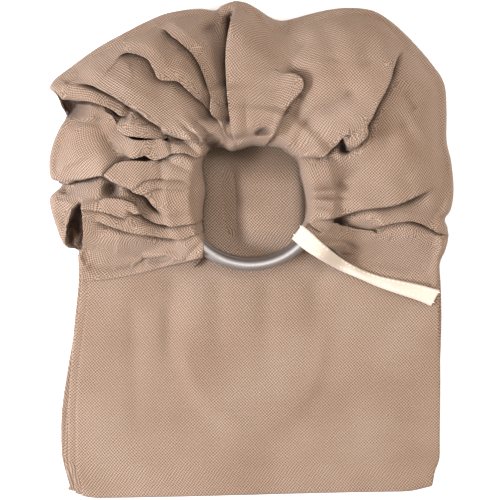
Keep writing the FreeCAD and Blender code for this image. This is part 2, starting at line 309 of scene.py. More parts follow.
def satin_aluminium(name, middle):
    """Anodised aluminium wire, polished round its length: bright, with soft streaks along the wire."""
    material, tree, shader = new_material(name)
    spot = add_node(tree, "ShaderNodeTexCoord").outputs["Object"]
    local = maths(tree, "SUBTRACT", spot, tuple(middle * MM), kind="ShaderNodeVectorMath")
    flat = add_node(tree, "ShaderNodeMapping",
                    {"Vector": local, "Rotation": (-math.atan(ring_slope), 0, 0)}).outputs[0]
    split = add_node(tree, "ShaderNodeSeparateXYZ", {0: flat}).outputs
    turn = maths(tree, "ARCTAN2", split[0], split[1])
    wide = add_node(tree, "ShaderNodeVectorMath", {0: flat}, operation="LENGTH").outputs["Value"]
    stretched = [maths(tree, "MULTIPLY", part, rate) for part, rate in
                 ((turn, 3.0), (wide, 2600.0), (split[2], 2600.0))]
    streak_place = add_node(tree, "ShaderNodeCombineXYZ", dict(enumerate(stretched))).outputs[0]
    streak = noise(tree, streak_place, 1.0, 3.0)
    fill_inputs(tree, shader, {
        "Base Color": mixed(tree, streak, "#7C7876", "#A19C99"), "Normal": relief(tree, streak, 0.02, 0.5),
        "Roughness": spread_range(tree, streak, 0.44, 0.6, side="To"), "Metallic": 1.0})
    return material


taupe_thread = spun_thread("spun taupe thread", "#9C8068")
cream_thread = spun_thread("spun cream thread", "#F3EAD6")
for ring in ("upper_ring", "lower_ring"):
    metal = satin_aluminium(f"satin anodised aluminium {ring}", np.array(joints[f"{ring}_turn"]["pos_m"]) / MM)
    frame["nodes"][ring].data.materials.clear()
    frame["nodes"][ring].data.materials.append(metal)
print("materials:", [material.name for material in bpy.data.materials])

# %% [markdown]
# ## The folded tail
# The tail is folded in three across its width, and that three-ply band is then folded to and fro into six
# lengths. One sheet is swept along the to-and-fro path with an S-shaped section, as the real cloth lies, so
# its side folds and front folds are real turns of cloth and not grooves in a block.

# %% The to-and-fro path, from the free end at the bottom to the top length
LENGTHS = 6
PITCH = tail_top / LENGTHS
PLY = 1.0  # the cloth's thickness
PLY_GAP = (PITCH - 3 * PLY - 0.1) / 2
TAIL_CENTRE, TAIL_HALF = 0.5, 106.0  # the middle and the half width of the folded band
turn_radius = PITCH / 2


def band_path(samples, top_samples, turn_samples=9):
    """Points along the middle of the three-ply band, the way up at each, and which length each is on."""
    spots, ups, lengths = [], [], []
    near, far = tail_front + turn_radius, tail_rear - turn_radius
    for length in range(LENGTHS):
        level = (length + 0.5) * PITCH
        forwards = length % 2 == 0
        way = -1 if forwards else 1
        count = top_samples if length == LENGTHS - 1 else samples
        start, stop = (far, near) if forwards else (near, far)
        if length == 0:
            start = hem_low[1]
        for y in np.linspace(start, stop, count):
            spots.append((y, level))
            ups.append((0.0, -way))
            lengths.append(length)
        if length < LENGTHS - 1:
            for step in range(1, turn_samples):
                turn = math.pi * step / turn_samples
                out = (way * math.sin(turn), -math.cos(turn))
                spots.append((stop + out[0] * turn_radius, level + (1 + out[1]) * turn_radius))
                ups.append((way * out[0], way * out[1]))
                lengths.append(length + step / turn_samples)
    return np.array(spots), np.array(ups), np.array(lengths)


spots, ups, on_length = band_path(samples=26, top_samples=120)
print(f"{len(spots)} stations along the band, pitch {PITCH:.2f} mm")

# %% The S-shaped section: three plies joined by a turn at each side
def band_section(across, coarse, turn_samples=6):
    """Place across (-1 to 1) and height in plies, walking the section from one outer ply to the other."""
    xs, heights = [], []
    for ply, count in enumerate((across, coarse, coarse)):
        way = 1 if ply % 2 == 0 else -1
        for x in np.linspace(-way, way, count):
            xs.append(x)
            heights.append(ply - 1.0)
        if ply < 2:
            for step in range(1, turn_samples):
                turn = math.pi * step / turn_samples
                xs.append(way * (1 + 0.006 * math.sin(turn)))
                heights.append(ply - 1.0 + (1 - math.cos(turn)) / 2)
    return np.array(xs), np.array(heights)


def tail_relief(x, y):
    """How the tail's top rises and falls: soft waves, pressed dips, a tuck's mark, and the ring hole's swell."""
    waves = 0.5 * np.sin(x / 23 + 0.8) * np.sin(y / 47 + 0.6) + 0.35 * np.sin(x / 11 - y / 60 + 2.0)
    front_band = 0.9 * hill(y + 122, 7) * (0.6 + 0.4 * np.sin(x / 31))
    long_dip = 1.0 * hill(x + 70 + y * 0.03, 4.5) * ease((-y - 20) / 20) * ease((y + 115) / 20)
    short_dip = 0.9 * hill(x + 49, 3.5) * ease((-y - 28) / 10) * ease((y + 70) / 15)
    round_dip = 1.2 * hill(x - 43, 6) * hill(y + 12, 8)
    ring_dips = 1.6 * sum(hill(x - across, 6) for across in (-46, -19, 9, 37))
    ring_dips = ring_dips * ease((-y - 12) / 8) * ease((y + 78) / 45)
    tuck = np.hypot((x - 1) / 43, (y + 52) / 55)
    tuck_mark = 1.6 * (1 - ease((tuck - 0.80) / 0.32)) * ease((-y - 8) / 30)
    tuck_mark = tuck_mark + 1.0 * hill(tuck - 0.94, 0.09) * ease((-y - 40) / 30)
    swell_left = -10 - 0.127 * y
    swell = 8.0 * ease((x - swell_left) / 12) * (1 - ease((x - 26) / 14)) + 1.2 * hill(x + 22, 9)
    swell = swell * ease((y + 4) / 18) * (1 - ease((y - 38) / 22))
    under_rim = 5.0 * hill(x + 13, 17, 4) * hill(y - 61, 9)
    return waves + tuck_mark + swell - (front_band + long_dip + short_dip + round_dip + ring_dips + under_rim)


# %% Sweep the section along the path
def tail_points():
    """The whole folded tail as one grid: stations along the band by points across its section."""
    sides, plies = band_section(across=110, coarse=16)
    length = on_length[:, None]
    height = plies[None, :] * (PLY + PLY_GAP)
    y = spots[:, 0][:, None] + ups[:, 0][:, None] * height
    z = spots[:, 1][:, None] + ups[:, 1][:, None] * height
    lower = ease(3.5 - length)
    uneven = 0.7 * np.sin(length * 2.4 + y / 26) + 0.5 * np.sin(y / 17 + length)
    half = TAIL_HALF + uneven - 1.6 * ease((y + 60) / 60)
    to_left, to_right = np.clip(-sides, 0, 1)[None, :], np.clip(sides, 0, 1)[None, :]
    x = TAIL_CENTRE - 4.0 * lower + sides[None, :] * half
    x += to_left * (3.2 * (plies[None, :] < -0.9) + (5.0 + 3.5 * lower) * ease((y + 105) / 85))
    x += to_right * (2.4 + 1.8 * ease((y + 60) / 50))
    x *= 1 - 0.035 * ease((-124 - y) / 18)
    corner = 3.2 * ease((np.abs(x) - 84) / 24) ** 2
    y = y + (4.0 * ease((x + 110) / 220) + corner) * ease((-100 - y) / 43)
    lift = ease(z / tail_top) ** 1.2
    z = z + tail_relief(x, y) * lift * ease((y - tail_front) / 12)
    return np.stack([x, y, np.maximum(z, 0.1)], axis=-1)


def painted_gap_shade(piece):
    """Painted shade on the top of the tail under the hole's rear left rim, where the cloth closes to a narrow
    gap, and a fainter painted shade over the hole's left part.
    """
    places = np.empty(len(piece.data.vertices) * 3)
    piece.data.vertices.foreach_get("co", places)
    x, y, z = places.reshape(-1, 3).T / MM
    under_rim = 0.5 * hill(x + 15, 17, 4) * hill(y - 62, 8.5, 4)
    painted_left_shade = 0.14 * hill(x + 23, 15, 4) * hill(y - 29, 33, 4)
    return np.maximum(under_rim, painted_left_shade) * (z > tail_top - 2 * PITCH)


tail_grid = tail_points()
walked = run_length(tail_grid, 0).mean(axis=1, keepdims=True) + np.zeros(tail_grid.shape[:2])
tail_uv = np.stack([run_length(tail_grid, 1), walked], axis=-1)
folded_tail = cloth_piece("folded_tail_cloth", tail_grid, taupe_cloth, uv=tail_uv, thick=PLY)
# painted shade on the tail under the ring hole's rim
store_painted_shade(folded_tail, painted_gap_shade(folded_tail))

# %% [markdown]
# ## The gathered shoulder
# The shoulder's cloth comes up from behind the tail, fans in over the rings and dives down through them.
# Its main folds are drawn as strokes, the way a sculptor lays them in: a lap is cloth that rolls over its
# neighbour, a valley is pressed in and a ridge stands up. Each stroke is a few chosen points.

# %% Outline and inner edge, from the ring's left end round the crown to its right end
OUTLINE = [  # across, along, and the height of the silhouette
    (-98.0, -18.0, 24.5), (-100.5, -7, 25), (-100.5, 0, 25), (-107, 1.5, 25), (-110.5, 6, 25),
    (-113.5, 14.5, 26), (-116.5, 25, 27), (-116.5, 31, 27), (-111, 36.5, 27), (-110.5, 40, 27),
    (-116, 42.5, 28), (-117, 52.5, 28.5), (-114.5, 63, 29), (-111, 71, 29), (-107.5, 77.5, 29),
    (-110.5, 84, 30), (-113, 90, 31.5), (-116.5, 94.5, 33), (-114.5, 98.5, 33), (-110, 102.5, 32),
    (-99.5, 110.5, 31), (-88, 118.5, 30), (-73.5, 126.5, 29), (-61, 133, 28), (-48.5, 138, 27),
    (-31.5, 140.5, 27), (-21, 139.5, 29), (-17, 142, 31), (-10.5, 144.5, 32), (-3.5, 144, 31),
    (3.5, 140.5, 29), (11, 135.5, 27), (17.5, 133.5, 27), (25.5, 135, 27), (34.5, 137.5, 27), (46, 140, 28),
    (57.5, 141, 28), (70.5, 139.5, 28), (81, 133.5, 28), (92.5, 123, 28), (104, 110, 28), (112, 97, 28),
    (113.5, 81.5, 28), (113.5, 64, 28), (116, 52.5, 28), (117.5, 40.5, 27), (117.5, 32, 27),
    (116, 23.5, 27), (112.5, 17.5, 26), (115, 10.5, 26), (113, 0, 25), (110, -7, 25), (109.5, -15, 24.5),
    (107.5, -26.0, 24.5),
]
INNER_EDGE = [
    (-28.0, -4.0), (-27.5, 6), (-28, 16.5), (-27.5, 26), (-26.3, 35), (-27.5, 43.5), (-28, 51), (-25, 58.5),
    (-18, 60.0), (-11, 57.6), (-2.5, 60), (4, 61), (11, 59.8), (20, 57.8), (26.5, 52.5), (28.5, 43.5),
    (30.5, 35), (32, 26), (32, 18.5), (28.5, 11.0),
]
FRONT_LEFT = [(-28.0, -4.0), (-37, -6.5), (-47, -8.8), (-64.5, -13.4), (-82, -16.9), (-98.0, -18.0)]
FRONT_RIGHT = [(28.5, 11.0), (33.5, 4.5), (41.5, -1.5), (52, -8), (63.5, -13.8), (75, -18.2), (91, -23),
               (107.5, -26.0)]
OUTER_SHARES = [0, 0.20, 0.34, 0.74, 1.0]
INNER_SHARES = [0, 0.36, 0.45, 0.71, 1.0]
COLUMNS, ROWS = 620, 128


def along_path(path, shares):
    """Points of an evenly sampled path at the given shares of its length."""
    at = np.linspace(0, 1, len(path))
    return np.stack([np.interp(shares, at, path[:, axis]) for axis in range(path.shape[1])], axis=-1)


def front_edge(path, rows):
    """The front edge of a flank, sampled so that it meets the grid's rows."""
    return along_path(smooth_path(path, 200), np.linspace(0, 1, rows))


share = np.linspace(0, 1, COLUMNS)
outer = along_path(smooth_path(OUTLINE, 1600), share)
inner = along_path(smooth_path(INNER_EDGE, 600), np.interp(share, OUTER_SHARES, INNER_SHARES))
down = np.linspace(0, 1, ROWS)[:, None, None]
plan = inner[None] + (outer[None, :, :2] - inner[None]) * down
left_front, right_front = front_edge(FRONT_LEFT, ROWS), front_edge(FRONT_RIGHT, ROWS)
bow_left, bow_right = left_front - plan[:, 0], right_front - plan[:, -1]
FRONT_SHARE = 0.10  # the share of the columns at each end that bend to meet the front edge
fade_left = ease(1 - share / FRONT_SHARE)[None, :, None]
fade_right = ease(1 - (1 - share) / FRONT_SHARE)[None, :, None]
plan = plan + bow_left[:, None] * fade_left + bow_right[:, None] * fade_right
print("gather grid", plan.shape[:2])


# %% The smooth body of the gather, before its folds
COVER = 5.5  # the cloth over the upper ring's wire
BODY_TOP = 67.5  # the body's greatest height
RIM_ROLL = 42  # how far in from the outline the body rounds down
HOLE_ROLL, HOLE_DROP = 13, 17  # how far out from the hole the body rounds down, and how deep
LEFT_SLOPE, RIGHT_SLOPE = 24.0, 38.0  # how far the body climbs back from each front edge


def distance_to(path, spots):
    """From each spot to a path: the nearest distance, the side (left is positive), how far along, and the
    level direction across the path there."""
    spots = spots.reshape(-1, 2)
    start, step = path[:-1], np.diff(path, axis=0)
    size = np.maximum((step**2).sum(axis=1), 1e-9)
    best = np.full(len(spots), 1e9)
    side = np.zeros(len(spots))
    where = np.zeros(len(spots))
    lean = np.zeros((len(spots), 2))
    for index in range(len(step)):
        away = spots - start[index]
        share_of = np.clip((away @ step[index]) / size[index], 0, 1)
        gap = away - share_of[:, None] * step[index]
        reach = np.hypot(gap[:, 0], gap[:, 1])
        closer = reach < best
        best[closer] = reach[closer]
        cross = step[index][0] * away[:, 1] - step[index][1] * away[:, 0]
        side[closer] = np.sign(cross[closer])
        where[closer] = (index + share_of[closer]) / len(step)
        unit = step[index] / math.sqrt(size[index])
        lean[closer] = (-unit[1], unit[0])
    return best, side, where, lean


def crest_height(spots):
    """Top of the cloth where it passes over the upper ring's tilted wire."""
    return ring_middle[2] + (WIRE / 2 + COVER) + (spots[..., 1] - ring_middle[1]) * ring_slope


def body_height(spots):
    """A plump body: over the wire, rounded down to the silhouette, the front edges and the ring hole."""
    shape = spots.shape[:2]
    flat = spots.reshape(-1, 2)
    rim = smooth_path(OUTLINE, 500)
    to_rim, _, rim_share, _ = distance_to(rim[:, :2], flat)
    rim_height = np.interp(rim_share, np.linspace(0, 1, len(rim)), rim[:, 2])
    to_left = distance_to(left_front[::4], flat)[0]
    to_right = distance_to(right_front[::4], flat)[0]
    to_hole = distance_to(smooth_path(INNER_EDGE, 200), flat)[0]
    reach = ring_reach(flat)
    level = crest_height(flat)
    spread = 1 - 0.22 * ease((np.abs(flat[:, 0]) - 40) / 80)
    top = tail_top + (level - tail_top) * spread + 3.0 * ease((reach - 50) / 25)
    top = np.minimum(top, BODY_TOP)
    roll = np.clip(1 - to_rim / RIM_ROLL, 0, 1)
    height = rim_height + (top - rim_height) * np.sqrt(1 - roll**2)
    near_wire = 1 - ease((reach - 46) / 22)
    for gap, width in ((to_left, LEFT_SLOPE), (to_right, RIGHT_SLOPE)):
        low = tail_top + 2.5 + (level - 1.5 - tail_top - 2.5) * near_wire
        height = low + (height - low) * ease(gap / width)
    lip = np.clip(1 - to_hole / HOLE_ROLL, 0, 1)
    inside = ease((ring_radius - WIRE / 2 + 1 - reach) / 8)
    height = height - HOLE_DROP * (1 - np.sqrt(1 - lip**2)) * inside
    return height.reshape(shape)


# %% The folds, one stroke each
FOLDS = [  # kind, height, width, depth, spread, points; a lap's high side is on its left
    ("lap", 4.5, 14, 9.0, 7.0,
     [(-10.5, 142), (-12, 132), (-13.5, 121), (-14, 109), (-13.5, 98), (-13, 86), (-12, 75), (-11, 67),
      (-8, 61)]),
    ("valley", 7.5, 11.0, 0, 0, [(-27, 134), (-20, 124), (-17, 108), (-16, 92)]),
    ("lap", 5.0, 7, 6.0, 7.0,
     [(-52, 130), (-43, 124.5), (-38, 120), (-32.5, 114.5), (-28, 106.5), (-24, 95.5), (-20.5, 84),
      (-17, 73)]),
    ("lap", 4.0, 9, 5.5, 7.0,
     [(-78, 110), (-75, 113.5), (-70.5, 115), (-64, 113.5), (-59, 110.5), (-56, 105.5), (-53, 99.5),
      (-48, 98.5), (-42, 98), (-36, 93), (-31, 88.5), (-26, 84), (-21, 77.5), (-17, 71)]),
    ("lap", 4.5, 12, 6.0, 5.0,
     [(-102, 97), (-93, 96), (-88, 93.5), (-79, 88.5), (-72, 84), (-66, 80.5), (-60, 75.5), (-54, 71.5),
      (-49, 67.5), (-42, 64.5), (-35, 63), (-26, 61)]),
    ("lap", 4.0, 6, 7.0, 5.0,
     [(-116, 92.5), (-110, 91), (-100, 89), (-91, 86), (-85, 84), (-79, 81.5), (-74.5, 78.5), (-70, 79)]),
    ("lap", 3.0, 7, 8.0, 4.0, [(-79.5, 73.5), (-75.5, 69.5), (-71, 67), (-64, 66), (-56, 65), (-49, 64.5)]),
    ("lap", 4.0, 7, 8.0, 4.0,
     [(-48, 63), (-59, 61), (-67, 61), (-72, 63), (-76, 66.5), (-80.5, 73.5), (-84, 80.5)]),
    ("valley", 6.0, 5.5, 0, 0, [(-89.5, 79), (-85.5, 70), (-82, 62.5), (-78, 56), (-71, 52)]),
    ("lap", 3.0, 5, 6.0, 3.0,
     [(-74, 53.5), (-68, 53.5), (-61, 54.5), (-56, 52.5), (-50.5, 54), (-46, 56.5), (-38.5, 56.5),
      (-32, 54), (-26, 54.5)]),
    ("lap", 2.5, 6, 5.0, 2.5, [(-53, 50.5), (-61, 50), (-70.5, 50), (-78, 48.5), (-85.5, 43.5)]),
    ("lap", 4.0, 9, 6.5, 5.0,
     [(-116, 40), (-105.5, 40.5), (-96.5, 41.5), (-87.5, 43), (-82, 40), (-75, 37), (-70, 35), (-66, 32.5),
      (-61, 30.5), (-57.5, 26), (-54, 22), (-51, 19)]),
    ("lap", 2.0, 4, 3.5, 3.0, [(-60, 21), (-66, 24.5), (-73, 27.5), (-81, 29), (-88.5, 29)]),
    ("lap", 2.0, 4, 3.0, 2.5, [(-98, 24), (-91, 22.5), (-83, 21), (-77.5, 19), (-71, 18)]),
    ("lap", 3.5, 5, 5.5, 3.5,
     [(-71, 21.5), (-63.5, 20), (-59, 18), (-54, 15.5), (-47, 14.5), (-38.5, 15), (-27, 18)]),
    ("lap", 3.0, 5, 4.5, 3.5,
     [(-91, 16), (-83, 14), (-77.5, 12), (-71.5, 10), (-64.5, 8.5), (-56, 7.5), (-47, 6.5), (-38.5, 7),
      (-31, 10), (-26, 12)]),
    ("lap", 1.2, 3, 1.6, 1.4,
     [(-69.5, 36), (-63.5, 38.5), (-57.5, 40), (-48.5, 40.5), (-40, 40), (-35.5, 38)]),
    ("lap", 1.2, 3, 1.6, 1.4, [(-70, 35), (-59, 34.5), (-47, 35), (-35.5, 34.5)]),
    ("lap", 2.0, 6, 12.0, 4.5, [(-99.5, 28), (-98, 24), (-97.5, 14.5), (-98, 6), (-99.5, 0)]),
    ("lap", 2.0, 9, 5.5, 6.0,
     [(8.5, 59.5), (12, 64), (15.5, 68.5), (17.5, 74.5), (20, 80.5), (23.5, 85), (27.5, 89.5), (30.5, 94),
      (29.5, 99), (24.5, 102), (18.5, 103)]),
    ("valley", 3.5, 5.0, 0, 0, [(31, 91), (27, 83), (22, 73), (17, 64)]),
    ("ridge", 2.2, 2.6, 0, 0, [(13.5, 73.5), (11, 67.5), (8, 60)]),
    ("valley", 4.0, 4.0, 0, 0,
     [(61, 93), (52, 88), (46, 84.5), (40, 81.5), (35.5, 77.5), (32, 73.5), (29, 68.5), (27, 63),
      (26, 56)]),
    ("lap", 4.0, 13, 6.5, 8.0,
     [(27, 52.5), (34.5, 53), (41.5, 53.5), (45.5, 56), (49.5, 60), (53, 64), (55.5, 60), (57.5, 57),
      (61, 59), (65, 62.5), (67.5, 66), (67.5, 71), (70.5, 77), (74, 84.5), (77.5, 91), (81, 99), (83, 106),
      (86, 112.5), (89.5, 117)]),
    ("valley", 4.5, 9.0, 0, 0,
     [(94, 75), (84.5, 68.5), (78.5, 61.5), (72, 55.5), (66.5, 49.5), (60.5, 43.5), (54.5, 38.5),
      (50, 33)]),
    ("lap", 2.5, 8, 5.0, 5.0,
     [(39, 17), (47, 18), (54.5, 20), (61.5, 22), (70.5, 23.5), (79, 24.5), (85.5, 26), (92.5, 29),
      (99, 32), (105, 34.5)]),
    ("lap", 2.0, 6, 5.0, 3.5, [(74, 9.5), (64.5, 11.5), (57.5, 13.5), (52, 14.5), (49, 17.5)]),
    ("lap", 2.5, 6, 4.5, 4.5, [(71.5, 12), (82, 15), (92.5, 16.5), (101.5, 15), (107, 12), (115, 8)]),
    ("lap", 1.2, 3, 3.0, 1.6, [(32, 18), (36, 13.5), (41, 10.5)]),
    ("valley", 2.2, 3.5, 0, 0, [(88, 91), (92, 85.5), (96, 80)]),
    ("valley", 2.0, 10.0, 0, 0, [(40, 130), (47, 120), (46, 108)]),
    ("valley", 2.4, 10.0, 0, 0, [(17, 133), (24, 122), (32, 116)]),
    ("valley", 1.8, 9.0, 0, 0, [(72, 130), (66, 118), (68, 106)]),
    ("ridge", 3.0, 14.0, 0, 0, [(-100, 75), (-103, 60), (-99, 50)]),
    ("valley", 2.4, 6.0, 0, 0, [(-99, -6), (-88, 1), (-78, 0)]),
]
HOLLOWS = [  # across, along, width, length, heading and depth of each small dark hollow
    (-104.5, 84.5, 8.0, 6.2, -20, 24.0), (-103.3, 9.5, 3.0, 11.5, -10, 24.0),
    (-76.5, 79.5, 5.0, 2.2, -25, 4.0), (-62, 63.0, 11.0, 2.4, 0, 5.0), (-61.5, 52.4, 5.0, 1.6, 0, 5.0),
    (-81, 35.0, 4.5, 4.0, 30, 7.0), (-22.5, 62.5, 4.5, 4.0, 0, 8.0), (6.0, 68.0, 4.0, 1.7, 25, 6.0),
    (55.0, 58.5, 3.2, 3.2, 0, 6.0), (52.5, 17.0, 4.5, 2.2, 0, 4.0),
]
DARK_DEPTH = 9.0  # a hollow this deep gets the full painted shade at its floor
MOST_OVERHANG = 4.0  # how far a lap may roll over its low side


def lap_profile(signed, high, wide, deep, spread):
    """A rounded roll on the high side, a crease at the line, and the shaded dip on the low side."""
    roll = min(0.35 * wide, 4.0)
    climb = np.clip(signed / roll, 0, 1)
    climb = np.sqrt(1 - (1 - climb) ** 2)
    past = np.maximum(signed - roll, 0)
    above = -deep + (high + deep) * climb - high * (1 - hill(past, wide))
    below = -deep * hill(np.maximum(-signed, 0), spread, 1.3)
    reach = min(0.35 * (high + deep), MOST_OVERHANG)
    lean = reach * np.sin(math.pi * np.clip(signed / (2.2 * roll), 0, 1))
    return np.where(signed > 0, above, below), lean


def lay_folds(spots, height):
    """The body with every stroke laid in: its places with the laps rolled over, its heights, and the painted
    shade of its hollows.
    """
    flat = spots.reshape(-1, 2)
    rise = height.ravel().copy()
    shift = np.zeros_like(flat)
    freedom = 1 - 0.35 * hill(ring_reach(flat) - ring_radius, 6)
    for kind, high, wide, deep, spread, chosen in FOLDS:
        gap, side, where, lean = distance_to(smooth_path(chosen, 8 * len(chosen)), flat)
        ends = ease(where / 0.16 + 0.25) * ease((1 - where) / 0.16 + 0.25) * freedom
        if kind == "lap":
            change, over = lap_profile(gap * side, high, wide, deep, spread)
            shift -= lean * (ends * over)[:, None]
        else:
            change = (high if kind == "ridge" else -high) * hill(gap, wide, 1.6)
        rise += ends * change
    # painted shade: each hollow's floor is darkened in colour, in full at DARK_DEPTH
    shade = np.zeros(len(flat))
    for across, along, wide, long, heading, deep in HOLLOWS:
        turn = math.radians(heading)
        away = flat - (across, along)
        a = away @ (math.cos(turn), math.sin(turn)) / wide
        b = away @ (-math.sin(turn), math.cos(turn)) / long
        bowl = hill(a**2 + b**2, 1, 1.6)
        rise -= deep * bowl
        shade = np.maximum(shade, bowl * min(deep / DARK_DEPTH, 1))
    return (flat + shift).reshape(spots.shape), rise.reshape(height.shape), shade.reshape(height.shape)


# %% Small unevenness, and the cover over the wire
WAVE_LENGTHS = (9, 28)
WAVES, WAVE_HEIGHT = 22, 0.16
PUCKERS, PUCKER_HEIGHT = 27, 1.7  # how many gathers run round the ring, and how high they stand
FLOOR_GAP = 1.8  # how far above the tail the lowest fold stays, clear of the gather's own underside


def small_waves(spots, seed=7):
    """Low waves in every direction, as in cloth that has been folded and shaken out."""
    draw = np.random.default_rng(seed)
    total = np.zeros(spots.shape[:-1])
    for _ in range(WAVES):
        heading = draw.uniform(0, math.pi)
        length, start = draw.uniform(*WAVE_LENGTHS), draw.uniform(0, 2 * math.pi)
        walk = spots[..., 0] * math.cos(heading) + spots[..., 1] * math.sin(heading)
        total += (length / WAVE_LENGTHS[1]) * np.sin(2 * math.pi * walk / length + start)
    return WAVE_HEIGHT * total


def ring_gathers(spots):
    """Narrow rounded puckers with sharp valleys between them, which run over the wire and fan out from it."""
    away = spots - ring_middle[:2]
    turn = np.arctan2(away[..., 1], away[..., 0])
    beat = PUCKERS * turn + 2.4 * np.sin(5 * turn + 0.7) + 1.4 * np.sin(11 * turn)
    pucker = 2 * np.abs(np.sin(beat / 2)) - 1.2
    return PUCKER_HEIGHT * pucker * hill(ring_reach(spots) - 45, 10) * (0.6 + 0.4 * np.sin(3 * turn + 1))


def clear_of_wire(points, room=WIRE / 2 + 2.0):
    """The points, lifted along the rings' axis wherever the cloth would cut into the upper ring's wire."""
    local = points - ring_middle
    above = local @ ring_axis
    reach = np.linalg.norm(local - above[..., None] * ring_axis, axis=-1)
    off = np.clip(np.abs(reach - ring_radius) / room, 0, 1)
    short = np.maximum(room * np.sqrt(1 - off**2) - above, 0) * (off < 1)
    return points + short[..., None] * ring_axis


height = body_height(plan)
moved, height, painted_pocket_shade = lay_folds(plan, height)
height += small_waves(moved) + ring_gathers(moved)
sheet = np.concatenate([moved, np.maximum(height, tail_top + FLOOR_GAP)[..., None]], axis=-1)
sheet = clear_of_wire(sheet)
print("gather from", sheet.reshape(-1, 3).min(axis=0).round(1), "to", sheet.reshape(-1, 3).max(axis=0).round(1))

# %% [markdown]
# ## Letting the cloth settle
# Folds drawn one by one are too even. The sheet is now run as real cloth for a few frames: its edges are held,
# it grows a little, so it has spare cloth to buckle with, and its own weight pulls it down. How far a point may
# move is capped, so the large folds stay where they were laid and only gain their small natural creases.

# %% Cloth simulation on the open sheet
CLOTH_FRAMES = 14
SPARE_CLOTH = 0.07  # the share that the cloth grows by
MOST_MOVE = 3.5  # no point moves farther than this
HELD_BY_RING = 6.0  # the ring holds the cloth this far on each side of its wire
COARSER = 2  # the simulation runs on every second row and column, and its moves are spread back


def spread_back(coarse, rows, columns):
    """A coarse grid of moves, interpolated to the full grid."""
    at_rows = np.linspace(0, coarse.shape[0] - 1, rows)
    at_columns = np.linspace(0, coarse.shape[1] - 1, columns)
    low = np.minimum(at_rows.astype(int), coarse.shape[0] - 2)
    left = np.minimum(at_columns.astype(int), coarse.shape[1] - 2)
    down, right = (at_rows - low)[:, None, None], (at_columns - left)[None, :, None]
    top = coarse[low][:, left] * (1 - right) + coarse[low][:, left + 1] * right
    bottom = coarse[low + 1][:, left] * (1 - right) + coarse[low + 1][:, left + 1] * right
    return top * (1 - down) + bottom * down


def settle(points):
    """The grid after a short run of Blender's cloth, with every move capped."""
    coarse = points[::COARSER, ::COARSER]
    rows, columns = coarse.shape[:2]
    loose = grid_piece("settling_cloth", coarse, np.zeros((rows, columns, 2)), flip=True)
    held = np.zeros((rows, columns), dtype=bool)
    held[:3], held[-2:], held[:, :2], held[:, -2:] = True, True, True, True
    group = loose.vertex_groups.new(name="held")
    group.add(np.flatnonzero(held.ravel()).tolist(), 1.0, "REPLACE")
    cloth = loose.modifiers.new("cloth", "CLOTH")
    cloth.settings.quality = 6
    cloth.settings.mass = 0.3
    cloth.settings.tension_stiffness = cloth.settings.compression_stiffness = 20
    cloth.settings.shear_stiffness = 10
    cloth.settings.bending_stiffness = 1.0
    cloth.settings.shrink_min = -SPARE_CLOTH
    cloth.settings.vertex_group_mass = "held"
    cloth.settings.effector_weights.gravity = 0.12
    cloth.collision_settings.use_collision = False
    cloth.point_cache.frame_end = CLOTH_FRAMES
    for frame_number in range(1, CLOTH_FRAMES + 1):
        bpy.context.scene.frame_set(frame_number)
    settled = apply_modifiers(loose)
    after = np.empty(rows * columns * 3)
    settled.data.vertices.foreach_get("co", after)
    bpy.data.objects.remove(settled)
    bpy.context.scene.frame_set(1)
    move = after.reshape(coarse.shape) / MM - coarse
    far = np.linalg.norm(move, axis=-1, keepdims=True)
    print(f"cloth moved {far.mean():.2f} mm on average, {far.max():.2f} mm at most")
    from_wire = np.abs(ring_reach(coarse) - ring_radius)
    free = ease((from_wire - HELD_BY_RING) / HELD_BY_RING)[..., None]
    capped = free * move * (MOST_MOVE * np.tanh(far / MOST_MOVE) / np.maximum(far, 1e-6))
    return points + spread_back(capped, *points.shape[:2])


sheet = settle(sheet)
sheet[..., 2] = np.maximum(sheet[..., 2], tail_top + FLOOR_GAP)
sheet = clear_of_wire(sheet)

# %% [markdown]
# ## Turning the gather's edges under
# A cloth edge that simply stops looks like paper. Beyond the outline, the front edges and the ring hole, the
# sheet goes on: it drops and then tucks inwards, as the real cloth does before it reaches the pad or the rings.

# %% Edges that tuck under
def tuck_rows(edge, inwards, drop_to, steps, tuck):
    """Rows that run down from an edge to a level and then inwards by a given length."""
    rows = []
    fall = np.maximum(edge[:, 2] - drop_to, 0.5)
    whole = fall + tuck
    for step in range(1, steps + 1):
        walked = whole * (step / steps)
        low = np.minimum(walked, fall)
        under = np.maximum(walked - fall, 0)
        soft = 2.2 * np.sin(np.pi * np.clip(walked / whole, 0, 1))
        spot = edge.copy()
        spot[:, 2] = edge[:, 2] - low
        spot[:, :2] += inwards * (under - 0.35 * soft)[:, None]
        rows.append(spot)
    return np.array(rows)


def floor_under(spots):
    """The level that the gather's underside keeps: over the tail, or near the floor behind it."""
    behind = ease((spots[:, 1] - tail_rear - 2) / 9)
    return (tail_top + 1.0) * (1 - behind) + 5.5 * behind


outer_in = unit(inner - outer[:, :2])
rim_edge, hole_edge = sheet[-1], sheet[0]
rim_rows = tuck_rows(rim_edge, outer_in, floor_under(rim_edge), steps=12, tuck=9)
to_middle = unit(hole_edge[:, :2] - ring_middle[:2])
hole_floor = lower_ring_level - 1.5 + (hole_edge[:, 1] - ring_low[1]) * ring_slope
hole_rows = tuck_rows(hole_edge, to_middle, hole_floor, steps=9, tuck=8)
whole = np.concatenate([hole_rows[::-1], sheet, rim_rows])


def side_columns(column, neighbour, steps, tuck):
    """Columns that turn a front edge down and under."""
    inwards = unit(neighbour[:, :2] - column[:, :2])
    lowest = np.minimum(floor_under(column), column[:, 2] - 0.5)
    return tuck_rows(column, inwards, lowest, steps, tuck)


